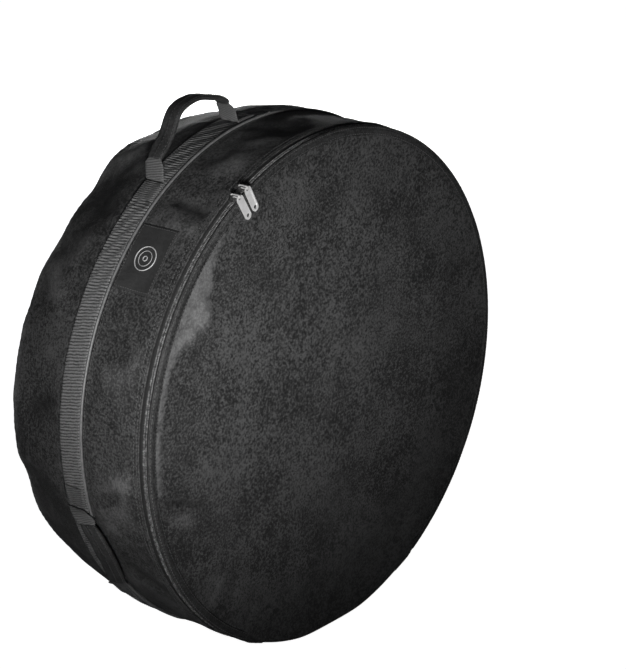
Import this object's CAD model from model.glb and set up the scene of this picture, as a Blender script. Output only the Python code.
"""Looks of a round zipped storage bag for one car wheel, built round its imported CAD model.

Everything is in metres.  The bag's axis lies along Y, the zipped front faces -Y and +Z is
up.  Angles round the bag are in degrees from the top, clockwise as seen from the front, so
the left side of the bag is at -90.  Each cloth mesh keeps the place of its points on the
flat cloth, along and across in metres, in the attribute "cloth" that the weaves read.  Its
third part is wear: 1 on pale rubbed ridges, -1 in dark hollows.
"""

import math

import bmesh
import bpy
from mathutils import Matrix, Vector, noise


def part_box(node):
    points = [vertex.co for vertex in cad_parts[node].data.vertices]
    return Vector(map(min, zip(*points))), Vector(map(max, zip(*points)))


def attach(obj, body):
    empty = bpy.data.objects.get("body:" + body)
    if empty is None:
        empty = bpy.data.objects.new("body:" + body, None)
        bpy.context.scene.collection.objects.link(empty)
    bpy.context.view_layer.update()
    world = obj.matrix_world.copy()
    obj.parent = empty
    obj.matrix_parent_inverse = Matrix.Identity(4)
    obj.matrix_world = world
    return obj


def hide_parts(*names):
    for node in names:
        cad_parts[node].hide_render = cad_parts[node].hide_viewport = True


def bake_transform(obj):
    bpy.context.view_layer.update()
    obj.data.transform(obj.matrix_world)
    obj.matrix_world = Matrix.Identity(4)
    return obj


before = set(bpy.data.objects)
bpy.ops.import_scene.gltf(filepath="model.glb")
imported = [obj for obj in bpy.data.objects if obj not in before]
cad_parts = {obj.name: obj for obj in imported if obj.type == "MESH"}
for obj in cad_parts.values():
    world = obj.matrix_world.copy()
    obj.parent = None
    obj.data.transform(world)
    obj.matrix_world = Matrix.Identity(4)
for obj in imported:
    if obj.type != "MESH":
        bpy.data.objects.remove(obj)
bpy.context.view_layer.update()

# Sizes that come from the frame

WALL_LOW, WALL_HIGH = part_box("front_wall")
RADIUS = (WALL_HIGH.x - WALL_LOW.x) / 2
CENTRE_Z = WALL_HIGH.z - RADIUS
SEAM_Y = WALL_HIGH.y
PANEL_INNER_Y = WALL_LOW.y
FRONT_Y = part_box("front_fixed_panel")[0].y
REAR_LOW, REAR_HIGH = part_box("rear_panel")
REAR_Y = REAR_HIGH.y
REAR_RADIUS = (REAR_HIGH.x - REAR_LOW.x) / 2
REAR_DROP = CENTRE_Z - (REAR_HIGH.z + REAR_LOW.z) / 2
STRAP_Y = (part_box("wrap_strap")[0].y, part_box("wrap_strap")[1].y)
STRAP_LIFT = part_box("wrap_strap")[1].z - WALL_HIGH.z
LABEL_Y = (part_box("label_patch")[0].y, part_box("label_patch")[1].y)
LID_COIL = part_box("lid_zip_coil")
WALL_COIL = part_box("wall_zip_coil")
COIL_WIDTH = WALL_COIL[1].y - WALL_COIL[0].y
TAPE_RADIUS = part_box("wall_zip_tape")[1].z - CENTRE_Z
WALL_TAPE_Y = (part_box("wall_zip_tape")[0].y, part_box("wall_zip_tape")[1].y)
LID_TAPE_Y = (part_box("lid_zip_tape")[0].y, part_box("lid_zip_tape")[1].y)
PAD_Y = (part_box("upper_handle_pads")[0].y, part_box("upper_handle_pads")[1].y)
END_TAB_Y = (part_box("zip_end_tabs")[0].y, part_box("zip_end_tabs")[1].y)

# Sizes of the cloth

CLOTH = 0.0014           # thickness of the coated cloth
TAPE = 0.0008
TAPER_Y = 0.020          # the wall starts to narrow here
ZIP_EDGE_Y = WALL_TAPE_Y[1] - 0.010    # where the front wall ends beside the zip
ZIP_HALF_ANGLE = 146.0
FOLD_ANGLE = 149.2       # the wall reaches the front panel from here down
CORNER = 0.0045          # rounding of the rear edge
FLOOR_EASE = 0.004       # how gently cloth bends where it meets the floor
FLOOR_GAP = 0.0002
FOOT_TUCK = 0.0030
TUCK_FROM, TUCK_TO = 147.5, 158.0      # where the tuck begins and is full, on both sides
TURN_IN = 0.0012         # how far the front wall's edge turns inwards
WALL_STEPS = 900         # points round the walls
THREAD = 0.00042
STITCH_GAP = 0.0011
# A stitch from end to end: share of its length, width and height in threads.
STITCH_PROFILE = [(0.0, 0.25, -0.6), (0.18, 0.9, 0.55), (0.5, 1.0, 0.85), (0.82, 0.9, 0.55),
                  (1.0, 0.25, -0.6)]


def smooth(low, high, value):
    """0 before low, 1 after high, and a smooth step between them."""
    t = min(1.0, max(0.0, (value - low) / (high - low)))
    return t * t * (3 - 2 * t)


def swell(value, middle, width):
    """1 at the middle, falling away smoothly on both sides."""
    return math.exp(-(((value - middle) / width) ** 2))


def rough(x, y, z, size, seed=0.0):
    """Smooth noise from about -1 to 1 whose waves are about size across."""
    return 2 * noise.noise(Vector((x / size + seed, y / size - seed, z / size + 2 * seed)))


def soft_floor(z, floor):
    """Press a height up to the floor, with a gentle bend where it meets it."""
    d = (z - floor) / FLOOR_EASE
    if d >= 1:
        return z
    return floor + FLOOR_EASE * (max(0.0, d + 1) ** 2) / 4


def foot_tuck(angle):
    """The cloth draws in a little beyond the ends of the zip."""
    return FOOT_TUCK * smooth(TUCK_FROM, TUCK_TO, abs(angle))


def at_share(span, share):
    return span[0] + (span[1] - span[0]) * share


def arc(angle, radius=RADIUS):
    return math.radians(angle) * radius


def around(angle, radius, y, centre_z=CENTRE_Z):
    turn = math.radians(angle)
    return Vector((radius * math.sin(turn), y, centre_z + radius * math.cos(turn)))


# The lie of the cloth

# A crease runs between two places, each an angle and a y, with a width and a height.
WALL_CREASES = [
    ((-34.3, -0.021), (-36.3, -0.1), 0.009, -0.0056), ((-41, -0.03), (-40, -0.102), 0.013, 0.0016),
    ((-20, -0.05), (-24, -0.092), 0.024, 0.0046), ((-8, -0.03), (-4, -0.098), 0.018, -0.0024),
    ((14, -0.03), (19, -0.095), 0.016, -0.0026), ((41, -0.026), (35, -0.096), 0.015, 0.0024),
    ((63, -0.024), (66, -0.098), 0.013, -0.0028), ((96, -0.028), (88, -0.095), 0.02, 0.0028),
    ((128, -0.026), (133, -0.096), 0.015, -0.0026), ((-72, -0.035), (-76, -0.09), 0.022, 0.002),
    ((-100, -0.05), (-92, -0.102), 0.016, 0.0026), ((-103, -0.026), (-98, -0.078), 0.009, -0.0032),
    ((-118, -0.03), (-126, -0.098), 0.015, -0.004), ((-140, -0.03), (-133, -0.096), 0.014, 0.0026),
    ((-17, 0.06), (-30, 0.112), 0.016, 0.003), ((-44, 0.03), (-33, 0.11), 0.016, -0.0042),
    ((-66, 0.032), (-52, 0.108), 0.014, 0.003), ((-82, 0.03), (-88, 0.108), 0.015, -0.003),
    ((-106, 0.04), (-101, 0.112), 0.015, -0.003), ((-130, 0.036), (-124, 0.11), 0.013, 0.0032),
    ((12, 0.034), (4, 0.11), 0.014, -0.0034), ((37, 0.034), (44, 0.112), 0.017, 0.0036),
    ((60, 0.03), (56, 0.11), 0.013, -0.0036), ((86, 0.034), (93, 0.112), 0.016, 0.0032),
    ((112, 0.032), (104, 0.11), 0.014, -0.0036), ((140, 0.034), (146, 0.11), 0.015, 0.003),
]
# Where the slack rear edge falls in: an angle, a half-width in degrees and a depth.
REAR_DENTS = [
    (-36, 9, 0.007),
    (-104, 7, 0.006),
    (-78, 8, 0.002),
    (24, 12, 0.009),
    (66, 10, 0.007),
    (115, 9, 0.008),
]
# How far the slack rear edge stands out of an even round: an angle and a distance.
REAR_FULLNESS = [
    (-180, -0.004), (-165, -0.008), (-146, -0.014), (-128, -0.008), (-112, -0.004),
    (-97, 0.004), (-90, 0.003), (-80, 0.004), (-70, 0.004), (-58, 0.003),
    (-49, -0.003), (-40, 0.004), (-32, 0.003), (-22, 0.008), (-8, 0.001),
    (30, 0.003), (75, -0.002),
    (110, 0.003), (150, -0.003), (180, -0.004),
]
# The rubbed rim of the front panel beside the zip: where it lies, and how wide it is in
# general and at its widest.
RUBBED_FROM, RUBBED_TO = -99.0, -40.0
RUBBED_WIDTH = 0.012
RUBBED_WIDEST = 0.048
RUBBED_MIDDLE = -55.0
# Creases of the front panel: x and height above the centre at both ends, width, height.
PANEL_CREASES = [
    ((-0.252, 0.186), (-0.222, 0.15), 0.009, 0.0022),
    ((-0.222, 0.15), (-0.275, 0.128), 0.012, 0.0016),
    ((-0.236, 0.182), (-0.198, 0.17), 0.0075, -0.0012),
    ((-0.3, 0.03), (-0.296, -0.02), 0.006, 0.0011),
    ((-0.319, -0.045), (-0.219, -0.082), 0.0065, -0.003),
    ((-0.302, -0.068), (-0.245, -0.096), 0.013, 0.0013),
    ((-0.262, -0.19), (-0.225, -0.15), 0.008, -0.0012),
    ((-0.215, -0.234), (-0.175, -0.176), 0.0095, -0.0014),
    ((-0.175, -0.268), (-0.15, -0.225), 0.0075, -0.0012),
    ((-0.235, -0.215), (-0.2, -0.17), 0.0085, 0.0011),
    ((0.15, -0.262), (0.12, -0.205), 0.009, -0.0012),
    ((0.262, -0.15), (0.205, -0.118), 0.01, -0.0013),
    ((0.283, 0.1), (0.225, 0.08), 0.011, -0.0012),
    ((0.16, 0.265), (0.132, 0.205), 0.01, -0.0012),
]


def crease(x, y, start, end, width, height):
    """How high one crease lifts the cloth at a place beside it."""
    run_x, run_y = end[0] - start[0], end[1] - start[1]
    length = math.hypot(run_x, run_y)
    along = ((x - start[0]) * run_x + (y - start[1]) * run_y) / length
    aside = ((x - start[0]) * run_y - (y - start[1]) * run_x) / length
    past = max(0.0, -along, along - length)
    share = along / length
    taper = smooth(-0.25, 0.45, share) * (1 - smooth(0.55, 1.25, share))
    return height * taper * math.exp(-(aside**2 + past**2) / width**2)


def between(knots, place):
    """A value read from a table of places in order, eased from one to the next."""
    for (low, first), (high, last) in zip(knots, knots[1:]):
        if min(low, high) <= place <= max(low, high):
            return first + (last - first) * smooth(0, 1, (place - low) / (high - low))
    return 0.0


def seam_pucker(angle, distance, seed):
    """The fine gathers beside a row of stitching."""
    s = arc(angle)
    wave = math.sin(s / 0.0017 + 2.5 * rough(s, 0, 0, 0.03, seed))
    return 0.00035 * wave * math.exp(-distance / 0.008) * (0.6 + 0.6 * rough(s, 0, 0, 0.05, seed))


def wall_folds(angle, y):
    """The folds and ridges of the wall, away from its sewn edges."""
    edge = smooth(ZIP_EDGE_Y, ZIP_EDGE_Y + 0.020, y) * smooth(0, 0.016, SEAM_Y - y)
    behind = smooth(STRAP_Y[1], STRAP_Y[1] + 0.03, y)
    total = 0.0
    for start, end, width, height in WALL_CREASES:
        turn = (angle - start[0] + 180) % 360 - 180 + start[0]
        first, last = (arc(start[0]), start[1]), (arc(end[0]), end[1])
        total += crease(arc(turn), y, first, last, width, height)
    place = around(angle, RADIUS, y)
    total += 0.0016 * rough(place.x, y, place.z, 0.075, 3.0)
    total += 0.0007 * rough(place.x, y, place.z, 0.026, 5.0)
    return total * max(edge, behind)


def wall_wear(angle, y):
    """Rubbed pale on the ridges, 1 at most, and dark in the hollows, down to -1."""
    worn = wall_folds(angle, y) / 0.0055
    worn += 0.5 * swell(y, REAR_Y - CORNER, 0.006)
    return max(-1.0, min(1.0, worn))


def wall_slack(angle, y):
    """How far the wall lies outside of its even taper."""
    total = wall_folds(angle, y)
    sag = smooth(0.03, REAR_Y, y)
    total += between(REAR_FULLNESS, angle) * sag
    for middle, width, depth in REAR_DENTS:
        total -= depth * sag * swell(angle, middle, width)
    if y < SEAM_Y:
        total += seam_pucker(angle, SEAM_Y - y, 1.0) + seam_pucker(angle, abs(y - ZIP_EDGE_Y), 2.0)
    else:
        total += seam_pucker(angle, max(0.0, REAR_Y - y), 4.0)
    return total


def wall_point(angle, y, lift=0.0):
    """A point of the outside of the wall, or so far above it."""
    back = smooth(TAPER_Y, REAR_Y + 0.02, y) / smooth(TAPER_Y, REAR_Y + 0.02, REAR_Y)
    radius = RADIUS + (REAR_RADIUS - RADIUS) * back + wall_slack(angle, y)
    radius -= foot_tuck(angle) * (1 - back)
    rounding = max(0.0, y - (REAR_Y - CORNER)) / CORNER
    radius -= CORNER * (1 - math.sqrt(max(0.0, 1 - min(1.0, rounding) ** 2)))
    point = around(angle, radius + lift, y, CENTRE_Z - REAR_DROP * back)
    strap_bed = STRAP_LIFT + 0.0004
    bed = strap_bed * smooth(SEAM_Y - 0.012, SEAM_Y, y) * (1 - smooth(STRAP_Y[1], 0.035, y))
    point.z = soft_floor(point.z, max(0.0, FLOOR_GAP + bed - min(lift, bed)))
    return point


def panel_bulge(x, z):
    """How far the front panel stands in front of its flat plane."""
    radius = math.hypot(x, z)
    angle = math.degrees(math.atan2(x, z))
    total = 0.0
    for start, end, width, height in PANEL_CREASES:
        total += crease(x, z, start, end, width, height)
    inner = 1 - smooth(0.20, 0.31, radius)
    total += 0.0010 * rough(x, 7.0, z, 0.11, 6.0) * (0.35 + 0.65 * inner)
    total += 0.0004 * rough(x, 3.0, z, 0.035, 8.0)
    total += 0.0022 * inner
    total += seam_pucker(angle, max(0.0, RADIUS - 0.012 - radius), 7.0)
    ahead = 1 - 0.45 * smooth(0.285, 0.30, radius)
    slack = 0.004 * (1 - smooth(0.27, 0.298, radius))
    return max(-0.0002 - slack, min(total * ahead, 0.0005 + slack))


# Meshes

def in_scene(name, data):
    made = bpy.data.objects.new(name, data)
    bpy.context.scene.collection.objects.link(made)
    return made


def make_object(name, points, faces, cloth=None):
    mesh = bpy.data.meshes.new(name)
    mesh.from_pydata(points, [], faces)
    mesh.polygons.foreach_set("use_smooth", [True] * len(faces))
    if cloth:
        attribute = mesh.attributes.new("cloth", "FLOAT_VECTOR", "POINT")
        attribute.data.foreach_set("vector", [c for place in cloth for c in (*place, 0.0)[:3]])
    mesh.update()
    return in_scene(name, mesh)


def grid_faces(rows, columns, wrap_rows=False, wrap_columns=False, first=0):
    faces = []
    for r in range(rows if wrap_rows else rows - 1):
        for c in range(columns if wrap_columns else columns - 1):
            r2, c2 = (r + 1) % rows, (c + 1) % columns
            faces.append([first + r * columns + c, first + r2 * columns + c,
                          first + r2 * columns + c2, first + r * columns + c2])
    return faces


def grid(name, rows, wrap=False, cloth=None):
    """A sheet from rows of points, all of the same length."""
    points = [p for row in rows for p in row]
    faces = grid_faces(len(rows), len(rows[0]), wrap)
    places = [c for row in cloth for c in row] if cloth else None
    return make_object(name, points, faces, places)


def applied(made):
    """Turn the object's modifiers into its mesh."""
    graph = bpy.context.evaluated_depsgraph_get()
    graph.update()
    mesh = bpy.data.meshes.new_from_object(made.evaluated_get(graph))
    made.modifiers.clear()
    made.data = mesh
    return made


def thicken(made, thickness, lining=False):
    solid = made.modifiers.new("thickness", "SOLIDIFY")
    solid.thickness = thickness
    solid.offset = -1
    solid.use_even_offset = False
    if lining:
        solid.material_offset = 1
    return applied(made)


def steps(first, last, count):
    return [first + (last - first) * i / (count - 1) for i in range(count)]


def ring_strip(name, angles, place, columns, span, thickness, wrap=False):
    """A strip round the bag.  place(angle, share) gives a point at a share of its width."""
    rows = [[place(a, c / (columns - 1)) for c in range(columns)] for a in angles]
    across = span[1] - span[0]
    cloth = [[(arc(a), across * c / (columns - 1)) for c in range(columns)] for a in angles]
    return thicken(grid(name, rows, wrap, cloth), thickness)


def end_caps(count, sides):
    """The two closing faces of a swept piece."""
    return [list(range(sides)), [(count - 1) * sides + k for k in reversed(range(sides))]]


def tube(name, line, radius, sides=8, closed=False):
    """A tube along a line of points, with closed ends."""
    count = len(line)
    points, cloth, run = [], [], 0.0
    for i, here in enumerate(line):
        before = line[i - 1] if closed or i else here
        after = line[(i + 1) % count] if closed or i + 1 < count else here
        ahead = (after - before).normalized()
        side = ahead.cross(Vector((0, 1, 0)))
        if side.length <= 0.1:
            side = ahead.cross(Vector((1, 0, 0)))
        side = side.normalized()
        up = side.cross(ahead)
        run += (here - line[i - 1]).length if i else 0.0
        for k in range(sides):
            turn = 2 * math.pi * k / sides
            points.append(here + radius * (side * math.cos(turn) + up * math.sin(turn)))
            cloth.append((run, radius * turn))
    faces = grid_faces(count, sides, closed, True)
    if not closed:
        faces += end_caps(count, sides)
    return outward_faces(make_object(name, points, faces, cloth))


def stitches(name, line, normals, length):
    """A row of separate stitches along a line of closely spaced points."""
    points, faces = [], []
    start = line[0]

    def add(a, b, up):
        ahead = (b - a).normalized()
        side = ahead.cross(up).normalized()
        lift = up.normalized()
        first = len(points)
        for share, wide, high in STITCH_PROFILE:
            middle = a + (b - a) * share + lift * THREAD * high
            for x, z in ((1, 0), (0, 0.7), (-1, 0), (0, -0.7)):
                points.append(middle + side * THREAD * wide * x + lift * THREAD * wide * z)
        for r in range(4):
            for c in range(4):
                c2 = (c + 1) % 4
                faces.append([first + r * 4 + c, first + r * 4 + 4 + c,
                              first + r * 4 + 4 + c2, first + r * 4 + c2])
        faces.append([first, first + 1, first + 2, first + 3])
        faces.append([first + 19, first + 18, first + 17, first + 16])

    laid = 0.0
    for i in range(1, len(line)):
        laid += (line[i] - line[i - 1]).length
        if laid >= length:
            add(start, line[i], normals[i])
            laid = -STITCH_GAP
            start = None
        if start is None and laid >= 0:
            start = line[i]
    return outward_faces(make_object(name, points, faces))


def outward_faces(made):
    """Turn every face of a closed piece to the outside."""
    work = bmesh.new()
    work.from_mesh(made.data)
    bmesh.ops.recalc_face_normals(work, faces=work.faces)
    work.to_mesh(made.data)
    work.free()
    return made


def paint(made, *materials):
    for material in materials:
        made.data.materials.append(material)
    return made


def belongs(made, body, stands_for=()):
    """Ride a finished piece on its CAD body."""
    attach(made, body)
    if stands_for:
        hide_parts(*stands_for)
    return made


# Materials

class Graph:
    """The shader nodes of one material."""

    def __init__(self, name):
        self.material = bpy.data.materials.new(name)
        self.material.use_nodes = True
        self.tree = self.material.node_tree
        self.shader = self.tree.nodes["Principled BSDF"]

    def node(self, kind, inputs=None, **settings):
        made = self.tree.nodes.new(kind)
        for key, value in settings.items():
            setattr(made, key, value)
        for key, value in (inputs or {}).items():
            self.feed(made.inputs[key], value)
        return made

    def feed(self, socket, value):
        if isinstance(value, bpy.types.NodeSocket):
            self.tree.links.new(value, socket)
        else:
            socket.default_value = value

    def set(self, **values):
        for key, value in values.items():
            self.feed(self.shader.inputs[key.replace("_", " ").title()], value)

    def object_place(self):
        return self.node("ShaderNodeTexCoord").outputs["Object"]

    def cloth_place(self):
        return self.node("ShaderNodeAttribute", attribute_name="cloth").outputs["Vector"]

    def noise(self, place, scale, detail=2.0, roughness=0.5):
        inputs = {"Vector": place, "Scale": scale, "Detail": detail, "Roughness": roughness}
        return self.node("ShaderNodeTexNoise", inputs).outputs["Fac"]

    def maths(self, operation, *values):
        made = self.node("ShaderNodeMath", operation=operation)
        for socket, value in zip(made.inputs, values):
            self.feed(socket, value)
        return made.outputs[0]

    def remap(self, value, low, high, to_low=0.0, to_high=1.0):
        inputs = {"Value": value, "From Min": low, "From Max": high,
                  "To Min": to_low, "To Max": to_high}
        return self.node("ShaderNodeMapRange", inputs).outputs[0]

    def mix(self, share, first, second):
        made = self.node("ShaderNodeMix", data_type="RGBA")
        self.feed(made.inputs[0], share)
        self.feed(made.inputs[6], first)
        self.feed(made.inputs[7], second)
        return made.outputs[2]

    def weave(self, place, along, across):
        """Crossing threads: a height from 0 to 1 on a cloth of these thread spacings."""
        split = self.node("ShaderNodeSeparateXYZ", {0: place})
        waves = []
        for axis, pitch in ((0, along), (1, across)):
            turn = self.maths("MULTIPLY", split.outputs[axis], math.pi / pitch)
            waves.append(self.maths("SINE", turn))
        return self.maths("MULTIPLY_ADD", waves[0], waves[1], 0.5)

    def ridges(self, value, pitch):
        turn = self.maths("MULTIPLY", value, math.pi / pitch)
        return self.maths("ABSOLUTE", self.maths("SINE", turn))

    def bump(self, height, distance, strength=1.0, under=None):
        inputs = {"Height": height, "Distance": distance, "Strength": strength}
        made = self.node("ShaderNodeBump", inputs)
        if under is not None:
            self.feed(made.inputs["Normal"], under)
        return made.outputs["Normal"]


def grey(value, warm=0.0):
    return (value * (1 + warm), value, value * (1 - warm), 1.0)


def cloth_material(name, dark, light, roughness=(0.55, 0.78), thread=0.0006, grain=0.0004):
    """Coated polyester: a fine weave, a mottled grain, pale rubbed ridges and dark hollows."""
    g = Graph(name)
    place, flat = g.object_place(), g.cloth_place()
    worn = g.node("ShaderNodeSeparateXYZ", {0: flat}).outputs[2]
    mottle = g.noise(place, 340.0, 3.0, 0.7)
    patches = g.noise(place, 9.0, 3.0, 0.55)
    streaks = g.noise(place, 70.0, 4.0, 0.65)
    shade = g.maths("ADD", g.maths("MULTIPLY", mottle, 0.8), g.maths("MULTIPLY", patches, 0.25))
    shade = g.maths("MULTIPLY_ADD", streaks, 0.2, shade)
    colour = g.mix(g.remap(shade, 0.55, 0.72), grey(dark), grey(light))
    specks = g.remap(g.noise(place, 900.0, 1.0, 0.5), 0.74, 0.80)
    colour = g.mix(g.maths("MULTIPLY", specks, 0.5), colour, grey(light * 3.0))
    rubbed = g.maths("MULTIPLY", g.remap(worn, 0.1, 1.0), g.remap(streaks, 0.30, 0.62, 0.45, 1.0))
    pale = g.mix(g.remap(shade, 0.50, 0.76), grey(light * 1.5), grey(light * 2.6))
    colour = g.mix(rubbed, colour, pale)
    hollow = g.remap(worn, -0.15, -1.0, 0.0, 0.75)
    g.set(base_color=g.mix(hollow, colour, grey(dark * 0.35)))
    g.set(roughness=g.remap(mottle, 0.3, 0.7, *roughness))
    g.shader.inputs["Specular IOR Level"].default_value = 0.38
    pressed = g.bump(g.noise(place, 38.0, 3.0, 0.5), 0.0016, 0.5)
    grained = g.bump(mottle, grain, 1.0, pressed)
    g.set(normal=g.bump(g.weave(flat, thread, thread), 0.00012, 0.8, grained))
    return g.material


def webbing_material(name, dark, light, rib, roughness=0.7):
    """Woven band: ribs across it, with two threads of different shade."""
    g = Graph(name)
    flat, place = g.cloth_place(), g.object_place()
    split = g.node("ShaderNodeSeparateXYZ", {0: flat})
    wander = g.noise(place, 130.0, 2.0)
    run = g.maths("MULTIPLY_ADD", wander, rib * 0.9, split.outputs[0])
    skewed = g.maths("MULTIPLY_ADD", split.outputs[1], 0.22, run)
    ribs, threads = g.ridges(skewed, rib), g.ridges(split.outputs[1], 0.0011)
    mottle = g.noise(place, 500.0, 3.0, 0.6)
    shade = g.maths("MULTIPLY_ADD", ribs, 0.6, g.maths("MULTIPLY", mottle, 0.7))
    g.set(base_color=g.mix(g.remap(shade, 0.35, 1.0), grey(dark), grey(light)))
    g.shader.inputs["Roughness"].default_value = roughness
    ridged = g.bump(ribs, 0.0005, 0.9)
    g.set(normal=g.bump(threads, 0.00018, 0.8, ridged))
    return g.material


def plastic_material(name, dark, light, roughness, speck=260.0):
    """Smooth moulded or extruded plastic, a little dusty."""
    g = Graph(name)
    place = g.object_place()
    dust = g.noise(place, speck, 3.0, 0.6)
    g.set(base_color=g.mix(g.remap(dust, 0.35, 0.75), grey(dark), grey(light)))
    g.set(roughness=g.remap(dust, 0.3, 0.7, roughness - 0.07, roughness + 0.12))
    g.set(normal=g.bump(dust, 0.00005, 0.6))
    return g.material


def metal_material(name, bright, roughness, metallic):
    """Plated zinc with fine scratches and duller patches."""
    g = Graph(name)
    place = g.object_place()
    stretched = g.node("ShaderNodeMapping", {"Vector": place, "Scale": (2600.0, 400.0, 300.0)})
    scratches = g.noise(stretched.outputs[0], 1.0, 4.0, 0.7)
    patches = g.noise(place, 190.0, 3.0, 0.6)
    g.set(base_color=g.mix(g.remap(patches, 0.3, 0.75), grey(bright * 0.86, 0.01), grey(bright)))
    g.shader.inputs["Metallic"].default_value = metallic
    dull = g.remap(patches, 0.3, 0.7, roughness, roughness + 0.1)
    worn = g.maths("MULTIPLY_ADD", scratches, 0.12, dull)
    g.set(roughness=worn, normal=g.bump(scratches, 0.00003, 0.5))
    return g.material


WALL_CLOTH = cloth_material("wall_cloth", 0.008, 0.062)
PANEL_CLOTH = cloth_material("panel_cloth", 0.008, 0.062)
LINING = cloth_material("lining", 0.020, 0.034, (0.45, 0.6), 0.0009, 0.0001)
GRIP_CLOTH = cloth_material("grip_cloth", 0.012, 0.036, (0.6, 0.8), 0.0007)
STRAP_WEBBING = webbing_material("strap_webbing", 0.010, 0.160, 0.0038)
HANDLE_WEBBING = webbing_material("handle_webbing", 0.030, 0.105, 0.0030)
BINDING_TAPE = webbing_material("binding_tape", 0.016, 0.045, 0.0016)
ZIP_TAPE = webbing_material("zip_tape_weave", 0.004, 0.016, 0.0014)
BAND_CLOTH = cloth_material("band_cloth", 0.006, 0.040)
PIPING = plastic_material("piping_vinyl", 0.085, 0.150, 0.42)
COIL = plastic_material("coil_nylon", 0.060, 0.300, 0.20)
THREAD_COLOUR = plastic_material("sewing_thread", 0.050, 0.105, 0.5, 900.0)
LABEL = cloth_material("label_twill", 0.020, 0.027, (0.55, 0.7), 0.0005, 0.00012)
LABEL_MARK = plastic_material("label_print", 0.34, 0.46, 0.55, 700.0)
SLIDER_METAL = metal_material("slider_plating", 0.20, 0.30, 0.9)
PULL_METAL = metal_material("pull_plating", 0.92, 0.32, 0.55)


# The round wall

def wall_angles(count):
    """Round the whole bag, starting underneath."""
    return [-180 + 360 * i / count for i in range(count)]


def wall_sheet(name, count, y_columns, stands_for, rounded=False):
    """A strip of the wall whose columns lie between two edges that may vary round the bag."""
    rows, cloth = [], []
    for a in wall_angles(count):
        ys = y_columns(a)
        first = -TURN_IN if rounded else 0.0
        rows.append([wall_point(a, y, 0.0 if i else first) for i, y in enumerate(ys)])
        cloth.append([(arc(a), y, wall_wear(a, y)) for y in ys])
    made = grid(name, rows, True, cloth)
    paint(made, WALL_CLOTH, LINING)
    thicken(made, CLOTH, lining=True)
    return belongs(made, "bag", stands_for)


def front_edge_y(angle):
    """The front wall stops beside the zip, and reaches the panel below the fold."""
    below = smooth(147.6, FOLD_ANGLE + 0.6, abs(angle))
    return ZIP_EDGE_Y + (PANEL_INNER_Y - 0.0002 - ZIP_EDGE_Y) * below


def front_wall_columns(angle):
    edge = front_edge_y(angle)
    turned_in = [edge - 0.0006, edge, edge + 0.0008]
    return turned_in + steps(edge + 0.003, SEAM_Y - 0.0004, 44)


front_wall = wall_sheet("front_wall_cloth", WALL_STEPS, front_wall_columns, ["front_wall"],
                        rounded=True)

REAR_COLUMNS = steps(SEAM_Y + 0.0004, REAR_Y - CORNER, 50)
REAR_COLUMNS += [REAR_Y - CORNER * (1 - math.sin(math.radians(t))) for t in (20, 40, 60, 75)]
rear_wall = wall_sheet("rear_wall_cloth", WALL_STEPS, lambda a: REAR_COLUMNS, ["rear_wall"])


def rear_edge(angle):
    return wall_point(angle, REAR_COLUMNS[-1])


def rear_panel_sheet():
    """The closed back: a flat round panel with soft radial pulls at its seam."""
    rings = [0.0] + [((i + 1) / 42) ** 0.75 for i in range(42)]
    centre = Vector((0, REAR_Y, CENTRE_Z - REAR_DROP))
    angles = wall_angles(420)
    rows, cloth = [], []
    for share in rings[1:]:
        row, places = [], []
        for a in angles:
            point = centre.lerp(rear_edge(a), share)
            x, z = point.x, point.z - centre.z
            out = 0.0030 * (1 - share**2) + 0.0022 * rough(x, 1.0, z, 0.12, 9.0)
            out += 0.0010 * rough(x, 5.0, z, 0.045, 12.0)
            pull = math.sin(math.radians(a) * 17 + 2 * rough(x, 0, z, 0.2, 2.0))
            out += 0.0010 * pull * swell(share, 0.93, 0.12)
            turned = 0.0016 * smooth(0.98, 1.0, share)
            point.y = REAR_Y + out * (1 - smooth(0.965, 1.0, share)) - turned
            row.append(point)
            places.append((x, z))
        rows.append(row)
        cloth.append(places)
    points = [centre + Vector((0, 0.0030, 0))] + [p for row in rows for p in row]
    places = [(0.0, 0.0)] + [c for row in cloth for c in row]
    count = len(angles)
    faces = [[0, 1 + i, 1 + (i + 1) % count] for i in range(count)]
    faces += grid_faces(len(rows), count, False, True, 1)
    made = make_object("rear_panel_cloth", points, faces, places)
    paint(made, WALL_CLOTH, LINING)
    thicken(made, CLOTH, lining=True)
    return belongs(made, "bag", ["rear_panel"])


rear_panel = rear_panel_sheet()


BAND_OUT, BAND_IN = RADIUS - 0.0008, RADIUS - 0.0125
BAND_HALF_ANGLE = 148.6


# The front panel, one sheet that bends at the fold

def panel_wear(angle, radius):
    """Rubbed pale beside the zip on the left, and dark in the creases."""
    x, z = radius * math.sin(math.radians(angle)), radius * math.cos(math.radians(angle))
    worn = 0.0
    for start, end, width, height in PANEL_CREASES:
        worn += crease(x, z, start, end, width, height) / 0.0036
    width = RUBBED_WIDTH + (RUBBED_WIDEST - RUBBED_WIDTH) * swell(angle, RUBBED_MIDDLE, 8.0)
    ends = smooth(RUBBED_FROM - 3, RUBBED_FROM + 3, angle)
    ends *= 1 - smooth(RUBBED_TO - 4, RUBBED_TO + 4, angle)
    inner = BAND_IN - width
    worn += 0.85 * ends * smooth(inner - 0.003, inner + 0.012, radius)
    return max(-1.0, min(1.0, worn))


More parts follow.
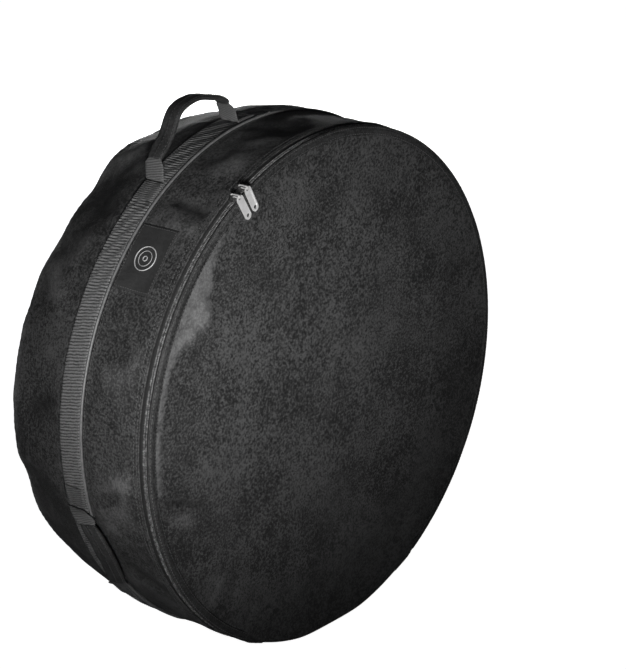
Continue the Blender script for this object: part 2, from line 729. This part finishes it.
def front_panel_sheet():
    rings = [((i + 1) / 76) ** 0.8 for i in range(76)]
    rim = RADIUS - 0.0016
    angles = wall_angles(720)
    points, cloth = [Vector((0, FRONT_Y - panel_bulge(0, 0), CENTRE_Z))], [(0.0, 0.0)]
    for share in rings:
        for a in angles:
            flat = around(a, (rim - foot_tuck(a)) * share, FRONT_Y)
            x, z = flat.x, flat.z - CENTRE_Z
            roll = smooth(0.966, 1.0, share)
            flat.y = FRONT_Y - panel_bulge(x, z) * (1 - roll) + 0.0012 * roll * roll
            flat.z = soft_floor(flat.z, 0.0003)
            points.append(flat)
            cloth.append((x, z, panel_wear(a, rim * share)))
    count = len(angles)
    faces = [[0, 1 + (i + 1) % count, 1 + i] for i in range(count)]
    faces += [list(reversed(f)) for f in grid_faces(len(rings), count, False, True, 1)]
    made = make_object("front_panel_cloth", points, faces, cloth)
    paint(made, PANEL_CLOTH, LINING)
    thicken(made, CLOTH, lining=True)
    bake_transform(made)
    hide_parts("lid_panel", "front_fixed_panel")
    return made


front_panel = front_panel_sheet()


# The band round the front of the lid, with its two rows of stitching

def band_point(angle, share, lift=0.0):
    """The band is crowned, and rolls back to the zip at its outer edge."""
    radius = BAND_IN + (BAND_OUT - BAND_IN) * share
    crown = 0.0007 * math.sin(math.pi * min(1.0, 0.08 + share)) ** 0.6
    fall = 0.0016 * smooth(0.55, 1.0, share)
    wave = seam_pucker(angle, 0.010, 11.0) + 0.00012 * rough(arc(angle), share, 0, 0.04, 4.0)
    return around(angle, radius, FRONT_Y - 0.00025 - crown + fall - wave - lift)


band_angles = steps(-BAND_HALF_ANGLE, BAND_HALF_ANGLE, 1500)
lid_band = ring_strip("lid_edge_band", band_angles, band_point, 9, (0, 0.012), 0.0007)
belongs(paint(lid_band, BAND_CLOTH), "lid", ["lid_edge_binding"])


def sew(name, body, line, normals, length=0.0031):
    """A row of stitches, coloured and in its place."""
    belongs(paint(stitches(name, line, normals, length), THREAD_COLOUR), body)


def stitch_ring(name, body, first, last, place, normal=None):
    """Stitches along a line round the bag, given by a place for each angle."""
    angles = steps(first, last, int(abs(last - first) * 13))
    line = [place(a) for a in angles]
    normals = [normal(a) if normal else Vector((0, -1, 0)) for a in angles]
    sew(name, body, line, normals)


def outward(angle):
    return around(angle, 1.0, 0, 0)


for label, share in (("inner", 0.14), ("outer", 0.80)):
    stitch_ring(f"lid_band_stitches_{label}", "lid", -BAND_HALF_ANGLE, BAND_HALF_ANGLE,
                lambda a, s=share: band_point(a, s, 0.0001))
for label, y in (("near", ZIP_EDGE_Y + 0.0025), ("far", ZIP_EDGE_Y + 0.0075)):
    stitch_ring(f"zip_wall_stitches_{label}", "bag", -ZIP_HALF_ANGLE - 1.0, ZIP_HALF_ANGLE + 1.0,
                lambda a, y=y: wall_point(a, y, 0.0001), normal=outward)


# The piped seam

def piping():
    cad_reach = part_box("centre_piping")[1].z - WALL_HIGH.z
    size = cad_reach / 2 - 0.0001
    stop = 180 - 14.5
    angles = steps(-stop, stop, 1100)
    wobble = [0.00012 * rough(arc(a), 0, 0, 0.02, 13.0) for a in angles]
    line = [wall_point(a, SEAM_Y, size * 0.9 + w) for a, w in zip(angles, wobble)]
    made = tube("seam_piping", line, size, 10)
    return belongs(paint(made, PIPING), "bag", ["centre_piping"])


piping()
for label, y in (("front", SEAM_Y - 0.0034), ("rear", SEAM_Y + 0.0021)):
    stitch_ring(f"seam_stitches_{label}", "bag", -166.0, 166.0,
                lambda a, y=y: wall_point(a, y, 0.0001), normal=outward)


# The webbing round the bag

STRAP_TOP = STRAP_LIFT - 0.0002


def strap_ribs(angle, across):
    """Ribs across the webbing: coarse beside the upper handle, and fine and wavy below."""
    s = arc(angle)
    coarse = swell(angle, -38.0, 13.0)
    pitch_shift = 0.9 * rough(s, across, 0, 0.022, 2.0) + 24 * (across - 0.017) * (1 - coarse)
    wave = math.cos(2 * math.pi * s / 0.0043 + pitch_shift)
    deep = 0.00036 + 0.00048 * coarse
    return deep * wave * (0.75 + 0.4 * rough(s, across, 3.0, 0.012, 5.0))


def strap_point(angle, share):
    width = STRAP_Y[1] - STRAP_Y[0]
    y = STRAP_Y[0] + width * share
    edge = min(share, 1 - share)
    lift = STRAP_TOP - 0.0009 * (1 - smooth(0.0, 0.06, edge))
    lift += strap_ribs(angle, width * share) * smooth(0.0, 0.05, edge)
    y += 0.0004 * rough(arc(angle), share, 0, 0.05, 8.0) * (1 - 2 * edge)
    return wall_point(angle, y, lift)


strap = ring_strip("wrap_webbing", wall_angles(3000), strap_point, 15, STRAP_Y,
                   STRAP_TOP - 0.0001, wrap=True)
belongs(paint(strap, STRAP_WEBBING), "bag", ["wrap_strap"])
for label, share in (("front", 0.075), ("rear", 0.925)):
    stitch_ring(f"strap_stitches_{label}", "bag", -168.0, 168.0,
                lambda a, s=share: strap_point(a, s), normal=outward)


# The zip

def tape_strip(name, half_angle, y_span, body, stands_for):
    def place(angle, share):
        curl = 0.00015 * rough(arc(angle), share, 0, 0.03, 6.0)
        return around(angle, TAPE_RADIUS + curl, at_share(y_span, share))

    angles = steps(-half_angle, half_angle, 700)
    made = ring_strip(name, angles, place, 7, y_span, TAPE)
    belongs(paint(made, ZIP_TAPE), body, [stands_for])


tape_strip("wall_zip_tape_weave", ZIP_HALF_ANGLE + 1.0, WALL_TAPE_Y, "bag", "wall_zip_tape")
tape_strip("lid_zip_tape_weave", ZIP_HALF_ANGLE, LID_TAPE_Y, "lid", "lid_zip_tape")

COIL_PITCH = 0.0019
COIL_WIRE = 0.00048
COIL_LAP = 0.0003        # how far the heads of the turns cross towards the other row


def zip_coil(name, box, heads, body, stands_for):
    """One row of the coil: a wire wound in flat turns whose heads reach the zip line."""
    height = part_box("wall_zip_coil")[1].z - CENTRE_Z
    middle_radius = TAPE_RADIUS - TAPE / 2
    half_high = height - middle_radius - COIL_WIRE
    wide = (COIL_WIDTH + COIL_LAP) / 2 - COIL_WIRE
    middle_y = (box[0].y + box[1].y) / 2 - heads * COIL_LAP / 2
    turns = int(2 * arc(ZIP_HALF_ANGLE, middle_radius) / COIL_PITCH)
    offset = 0.25 if heads > 0 else -0.25
    points_per_turn, sides = 8, 5
    line = []
    for k in range(turns * points_per_turn):
        turn = k / points_per_turn
        angle = -ZIP_HALF_ANGLE + 2 * ZIP_HALF_ANGLE * (turn + offset + 0.25) / (turns + 0.5)
        phase = 2 * math.pi * turn
        y = middle_y + wide * math.cos(phase)
        line.append(around(angle, middle_radius + half_high * math.sin(phase), y))
    made = tube(name, line, COIL_WIRE, sides)
    belongs(paint(made, COIL), body, [stands_for])


zip_coil("wall_coil_turns", WALL_COIL, 1, "bag", "wall_zip_coil")
zip_coil("lid_coil_turns", LID_COIL, -1, "lid", "lid_zip_coil")


# Sewn tabs at the zip's two ends, and the tapes that bind the seams inside

def wall_strip(name, angles, y_span, low, high, material, stands_for, wrap=False):
    """A strip that follows the wall, from one height above it to another."""

    def place(angle, share):
        return wall_point(angle, at_share(y_span, share), high)

    made = ring_strip(name, angles, place, 9, y_span, high - low, wrap)
    paint(made, material)
    return belongs(made, "bag", stands_for)


for side, label in ((-1, "left"), (1, "right")):
    ends = sorted((side * 150.7, side * 155.9))
    node = ["zip_end_tabs"] if side < 0 else []
    wall_strip(f"zip_end_tab_{label}", steps(*ends, 40), END_TAB_Y, 0.0001, 0.0010,
               BINDING_TAPE, node)
wall_strip("inside_seam_tape", wall_angles(500), (SEAM_Y - 0.009, SEAM_Y + 0.009),
           -0.0026, -0.0018, BINDING_TAPE, ["wall_seam_tape"], wrap=True)
wall_strip("inside_rear_binding", wall_angles(500), (REAR_Y - 0.0135, REAR_Y - 0.0045),
           -0.0026, -0.0018, BINDING_TAPE, ["rear_binding"], wrap=True)


# The plain label: a stitched patch with a ring, as a plain sign for a wheel

LABEL_ARC = (-56.4, -41.8)
LABEL_TOP = 0.0010


def sewn_path(corners, place, last, count):
    """Closely spaced points along straight runs between corners of (angle, share)."""
    return [place(*(at_share(span, t) for span in zip(start, end)))
            for start, end in zip(corners, corners[1:]) for t in steps(0.0, last, count)]


def label_point(angle, share, extra=0.0):
    y = at_share(LABEL_Y, share)
    span = LABEL_ARC[1] - LABEL_ARC[0]
    edge = min(share, 1 - share, (angle - LABEL_ARC[0]) / span, (LABEL_ARC[1] - angle) / span)
    lift = LABEL_TOP - 0.0005 * (1 - smooth(0.0, 0.03, edge))
    return wall_point(angle, y, lift + 0.00025 * rough(angle, share, 0, 3.0, 1.0) + extra)


def label():
    angles = steps(*LABEL_ARC, 110)
    made = ring_strip("label_patch_cloth", angles, label_point, 70, LABEL_Y, 0.0007)
    belongs(paint(made, LABEL), "bag", ["label_patch"])
    inset_angle, inset = 0.45, 0.04
    low, high = LABEL_ARC[0] + inset_angle, LABEL_ARC[1] - inset_angle
    corners = [(low, inset), (high, inset), (high, 1 - inset), (low, 1 - inset), (low, inset)]
    line = sewn_path(corners, lambda a, s: label_point(a, s, 0.0001), 0.996, 160)
    sew("label_stitches", "bag", line, [outward(-49.0)] * len(line), 0.0024)


def label_ring(name, size, thickness):
    """A thin raised ring in the middle of the label."""
    middle = (sum(LABEL_ARC) / 2, 0.5)
    width = LABEL_Y[1] - LABEL_Y[0]
    line = []
    for k in range(72):
        turn = 2 * math.pi * k / 72
        angle = middle[0] + math.degrees(size * math.sin(turn) / RADIUS)
        line.append(label_point(angle, middle[1] + size * math.cos(turn) / width, 0.00005))
    made = tube(name, line, thickness, 6, closed=True)
    belongs(paint(made, LABEL_MARK), "bag")


label()
for label_name, ring_size, ring_wire in (("outer", 0.0150, 0.0007), ("inner", 0.0095, 0.0004),
                                         ("hub", 0.0030, 0.0006)):
    label_ring(f"label_ring_{label_name}", ring_size, ring_wire)


# The handles, each drawn upright at the top of the bag and carried to its place

HANDLE_Y = (PAD_Y[0] + PAD_Y[1]) / 2
HANDLE_WIDTH = PAD_Y[1] - PAD_Y[0]
FOOT_ANGLE = 12.0        # half of the arc between a handle's feet
FOOT_RADIUS = RADIUS + 0.005
FOOT_Z = FOOT_RADIUS * math.cos(math.radians(FOOT_ANGLE))
FOOT_X = FOOT_RADIUS * math.sin(math.radians(FOOT_ANGLE))
PAD_ARC = (12.3, 16.9)   # degrees from the handle's middle to both ends of a sewn pad
UPPER_ARCH = [           # along the bag and above the feet
    (-FOOT_X, 0), (-0.0655, 0.0125), (-0.059, 0.025), (-0.034, 0.0387), (-0.012, 0.0578),
    (0.006, 0.061), (0.026, 0.0572), (0.046, 0.0455), (0.0645, 0.032), (0.07, 0.015),
    (FOOT_X, 0),
]
LOWER_ARCH = [
    (-FOOT_X, 0), (-0.0625, 0.0085), (-0.051, 0.0175), (-0.034, 0.0265), (-0.014, 0.033),
    (0.006, 0.0368), (0.026, 0.0368), (0.044, 0.0312), (0.058, 0.0215), (0.0665, 0.0105),
    (FOOT_X, 0),
]
HANDLES = {
    # name: angle on the bag, lean to the front, twist of the band, arch, where the grip begins
    "upper": (-20.0, 0.0, 0.0, UPPER_ARCH, 0.024),
    "lower": (-117.0, 66.0, 16.0, LOWER_ARCH, 0.021),
}


def arch_line(knots, count=120):
    """A smooth line through an arch's knots: x along the bag and height above the feet."""
    line = []
    last = len(knots) - 1
    for i in range(count):
        t = i * last / (count - 1)
        k = min(int(t), last - 1)
        f = t - k
        p0, p1, p2, p3 = (knots[min(max(k + d, 0), last)] for d in (-1, 0, 1, 2))
        line.append(tuple(
            0.5 * (2 * b + (c - a) * f + (2 * a - 5 * b + 4 * c - d) * f**2
                   + (3 * b - a - 3 * c + d) * f**3)
            for a, b, c, d in zip(p0, p1, p2, p3)))
    return line


def handle_place(which, x, across, height, out=(0.0, 0.0)):
    """From the upright arch to the bag.  The band twists on its way up from the feet."""
    angle, lean, twist = HANDLES[which][:3]
    tilt = math.radians(lean)
    spin = math.radians(twist) * smooth(0.0, 0.020, height)
    x += out[0]
    y = HANDLE_Y - height * math.sin(tilt) + across * math.cos(spin) - out[1] * math.sin(spin)
    up = FOOT_Z + height * math.cos(tilt) + across * math.sin(spin) + out[1] * math.cos(spin)
    turn = math.radians(angle)
    return Vector((x * math.cos(turn) + up * math.sin(turn), y,
                   CENTRE_Z - x * math.sin(turn) + up * math.cos(turn)))


def off_the_line(line, i):
    """The direction out of an arch at one of its points."""
    before, after = line[max(i - 1, 0)], line[min(i + 1, len(line) - 1)]
    ahead = Vector((after[0] - before[0], after[1] - before[1])).normalized()
    return Vector((-ahead.y, ahead.x))


def swept(name, which, line, section, wide):
    """Sweep a closed section of (across, out) points along an arch, as wide as wide() says."""
    points, cloth, run = [], [], 0.0
    for i, (x, z) in enumerate(line):
        out = off_the_line(line, i)
        run += math.dist(line[i - 1], line[i]) if i else 0.0
        scale = wide(i, z)
        for across, high in section:
            ripple = 0.0003 * rough(run, across, high, 0.012, 4.0)
            high = high + (ripple if high > 0 else 0.0)
            points.append(handle_place(which, x, across * scale, z, out * high))
            cloth.append((run, across))
    count, sides = len(line), len(section)
    faces = grid_faces(count, sides, False, True) + end_caps(count, sides)
    return outward_faces(make_object(name, points, faces, cloth))


def band_section(width, thickness, columns=11):
    """A flat band with rounded edges."""
    half, t = width / 2, thickness / 2

    def rise(across):
        return t * (1 - (abs(across) / half) ** 6) ** 0.5

    top = [half * math.sin(math.pi * (c / (columns - 1) - 0.5)) for c in range(columns)]
    return [(x, rise(x)) for x in top] + [(x, -rise(x)) for x in reversed(top[1:-1])]


GRIP_SECTION = [
    (-0.012, 0), (-0.0118, 0.0018), (-0.0104, 0.0029), (-0.006, 0.0033), (-0.0015, 0.0034),
    (0.0006, 0.0032), (0.0014, 0.0024), (0.0022, 0.0021), (0.006, 0.0025), (0.0098, 0.0026),
    (0.0115, 0.0017), (0.012, 0), (0.0115, -0.0019), (0.0096, -0.0029), (0.005, -0.0032),
    (0, -0.0033), (-0.005, -0.0032), (-0.0096, -0.0029), (-0.0115, -0.0019),
]


def handle(which):
    angle, _, _, knots, grip_foot = HANDLES[which]
    body = f"{which}_handle"
    line = arch_line(knots)
    webbing = swept(f"{which}_handle_band", which, line, band_section(HANDLE_WIDTH * 0.97, 0.0022),
                    lambda i, z: 1.0 - 0.42 * smooth(grip_foot - 0.006, grip_foot + 0.004, z))
    paint(webbing, HANDLE_WEBBING)
    up = outward(angle)
    foot = around(angle, FOOT_Z, HANDLE_Y)
    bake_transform(webbing)
    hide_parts(f"{which}_handle_webbing")
    held = [i for i, (x, z) in enumerate(line) if z > grip_foot]
    gripped = line[held[0]:held[-1] + 1]

    def grip_width(i, z):
        ends = min(i, len(gripped) - 1 - i) / 6
        return (0.88 + 0.12 * smooth(0, 1, ends)) * (1.0 + 0.04 * rough(i, 0, 0, 14.0, 3.0))

    grip = swept(f"{which}_handle_sleeve", which, gripped, GRIP_SECTION, grip_width)
    paint(grip, GRIP_CLOTH)
    applied_smooth(grip)
    belongs(grip, body, [f"{which}_handle_grip"])
    handle_stitches(which, gripped, body)


def applied_smooth(made):
    rounder = made.modifiers.new("round", "SUBSURF")
    rounder.levels = 1
    rounder.render_levels = 1
    return applied(made)


def handle_stitches(which, gripped, body):
    """Rows along the folded edge of the grip and across both of its ends."""
    for label, across, high in (("edge", -0.0098, 0.0031), ("fold", -0.0012, 0.0037)):
        line, ups = [], []
        fine = [gripped[0]]
        for a, b in zip(gripped, gripped[1:]):
            fine += [tuple(at_share(span, f) for span in zip(a, b)) for f in (0.25, 0.5, 0.75, 1.0)]
        for i, (x, z) in enumerate(fine):
            out = off_the_line(fine, i)
            line.append(handle_place(which, x, across, z, out * high))
            ups.append(line[-1] - handle_place(which, x, across, z))
        sew(f"{which}_grip_stitches_{label}", body, line, ups, 0.0028)


def pads(which):
    """Both ends of the webbing, sewn down on the strap with a boxed cross and two bars."""
    middle = HANDLES[which][0]
    low, high = STRAP_LIFT + 0.0002, STRAP_LIFT + 0.0021
    for side, label in ((-1, "a"), (1, "b")):
        ends = sorted((middle + side * PAD_ARC[0], middle + side * PAD_ARC[1]))

        def place(angle, share, extra=0.0):
            edge = min(share, 1 - share)
            y = at_share(PAD_Y, share)
            lift = high - 0.0007 * (1 - smooth(0, 0.06, edge))
            lift += 0.00022 * math.cos(2 * math.pi * arc(angle) / 0.0030)
            return wall_point(angle, y, lift + extra)

        made = ring_strip(f"{which}_handle_pad_{label}", steps(*ends, 60), place, 13, PAD_Y,
                          high - low)
        node = [f"{which}_handle_pads"] if side < 0 else []
        belongs(paint(made, HANDLE_WEBBING), "bag", node)
        inset = 0.6
        corners = [(ends[0] + inset, 0.1), (ends[1] - inset, 0.1), (ends[1] - inset, 0.9),
                   (ends[0] + inset, 0.9), (ends[0] + inset, 0.1), (ends[1] - inset, 0.9),
                   (ends[1] - inset, 0.1), (ends[0] + inset, 0.9)]
        line = sewn_path(corners, lambda a, s: place(a, s, 0.0002), 0.99, 60)
        normals = [outward(sum(ends) / 2)] * len(line)
        sew(f"{which}_pad_{label}_stitches", "bag", line, normals, 0.0022)


for name in HANDLES:
    handle(name)
    pads(name)


# Metal pieces keep their CAD shapes, with softened edges

def metal_piece(node, material, bevel):
    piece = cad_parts[node]
    piece.data.materials.clear()
    piece.data.materials.append(material)
    edges = piece.modifiers.new("softened", "BEVEL")
    edges.width = bevel
    edges.segments = 2
    edges.angle_limit = math.radians(40)


for side in ("left", "right"):
    metal_piece(f"slider_{side}_body", SLIDER_METAL, 0.00015)
    metal_piece(f"slider_{side}_bail", SLIDER_METAL, 0.0002)
    metal_piece(f"pull_{side}_ring", PULL_METAL, 0.0003)
    metal_piece(f"pull_{side}_tab", PULL_METAL, 0.0002)
metal_piece("zip_end_stops", SLIDER_METAL, 0.0002)


# What each cloth panel was cut to


# Floor, light and camera

# A wide shallow bowl: the radius and height of each ring
FLOOR_RINGS = [(0.01, 0.0), (6.0, 0.0), (10.0, 0.0), (11.4, 0.5), (12.0, 2.0), (12.2, 9.0)]
FLOOR_GLOW = 0.98
# Each light: place, what it is aimed at, its size or spread, and its power in watts
KEY_LIGHT = ((-1.70, -1.46, 0.52), (-0.17, -0.12, 0.455), 10.9, 0.20, 360.0)
FILL_LIGHT = ((-2.4, -2.6, 0.6), (0, 0, 0.35), 1.4, 3.0)
BACK_LIGHT = ((2.1, 2.3, 0.28), (0, 0, 0.33), 1.2, 36.0)
SKY_COLOUR, SKY_STRENGTH = (0.95, 0.96, 1.0, 1.0), 0.045
# The camera: where it stands seen from the bag's middle, and how far it turns from there
VIEW_AZIMUTH, VIEW_ELEVATION, VIEW_DISTANCE = -48.607, 20.79, 2.92166
VIEW_TURN, VIEW_TILT = -1.359, 0.771
VIEW_LENS, VIEW_SENSOR = 123.66, 36.0


def floor():
    sides = 64
    points = [(r * math.cos(2 * math.pi * k / sides), r * math.sin(2 * math.pi * k / sides), z)
              for r, z in FLOOR_RINGS for k in range(sides)]
    faces = grid_faces(len(FLOOR_RINGS), sides, False, True) + [list(range(sides))]
    ground = make_object("floor", points, faces)
    g = Graph("floor_paint")
    speckle = g.noise(g.object_place(), 40.0, 4.0, 0.6)
    colour = g.mix(speckle, grey(0.80), grey(0.84))
    g.set(base_color=colour, roughness=0.9)
    g.shader.inputs["Emission Color"].default_value = grey(1.0)
    g.shader.inputs["Emission Strength"].default_value = FLOOR_GLOW
    paint(ground, g.material)
    ground.visible_diffuse = False
    ground.visible_glossy = False


def stood(name, data, place, ahead):
    """A light or camera at a place, looking ahead."""
    made = in_scene(name, data)
    made.location = place
    made.rotation_mode = "QUATERNION"
    made.rotation_quaternion = ahead.to_track_quat("-Z", "Y")
    return made


def aimed(name, data, place, target):
    stood(name, data, place, Vector(target) - Vector(place)).visible_camera = False


def area_light(name, place, target, size, power):
    data = bpy.data.lights.new(name, "AREA")
    data.shape = "DISK"
    data.size = size
    data.energy = power
    aimed(name, data, place, target)


def spot_light(name, place, target, half_angle, radius, power):
    """A soft pool of light that fades towards its edge."""
    data = bpy.data.lights.new(name, "SPOT")
    data.spot_size = math.radians(2 * half_angle)
    data.spot_blend = 1.0
    data.shadow_soft_size = radius
    data.energy = power
    aimed(name, data, place, target)


def lighting():
    spot_light("key", *KEY_LIGHT)
    area_light("fill", *FILL_LIGHT)
    area_light("behind", *BACK_LIGHT)
    world = bpy.data.worlds.new("studio")
    world.use_nodes = True
    background = world.node_tree.nodes["Background"]
    background.inputs["Color"].default_value = SKY_COLOUR
    background.inputs["Strength"].default_value = SKY_STRENGTH
    bpy.context.scene.world = world


def camera():
    """From the front left and a little above."""
    azimuth, elevation = math.radians(VIEW_AZIMUTH), math.radians(VIEW_ELEVATION)
    turn_left, tilt_up = math.radians(VIEW_TURN), math.radians(VIEW_TILT)
    target = Vector((0, 0, CENTRE_Z))
    back = Vector((math.cos(elevation) * math.sin(azimuth),
                   -math.cos(elevation) * math.cos(azimuth), math.sin(elevation)))
    forward = -back
    right = forward.cross(Vector((0, 0, 1))).normalized()
    forward = forward * math.cos(turn_left) - right * math.sin(turn_left)
    right = forward.cross(Vector((0, 0, 1))).normalized()
    up = right.cross(forward)
    forward = forward * math.cos(tilt_up) + up * math.sin(tilt_up)
    data = bpy.data.cameras.new("camera")
    data.lens = VIEW_LENS
    data.sensor_width = VIEW_SENSOR
    bpy.context.scene.camera = stood("camera", data, target + back * VIEW_DISTANCE, forward)


floor()
lighting()
camera()
bpy.context.scene.view_settings.view_transform = "Standard"
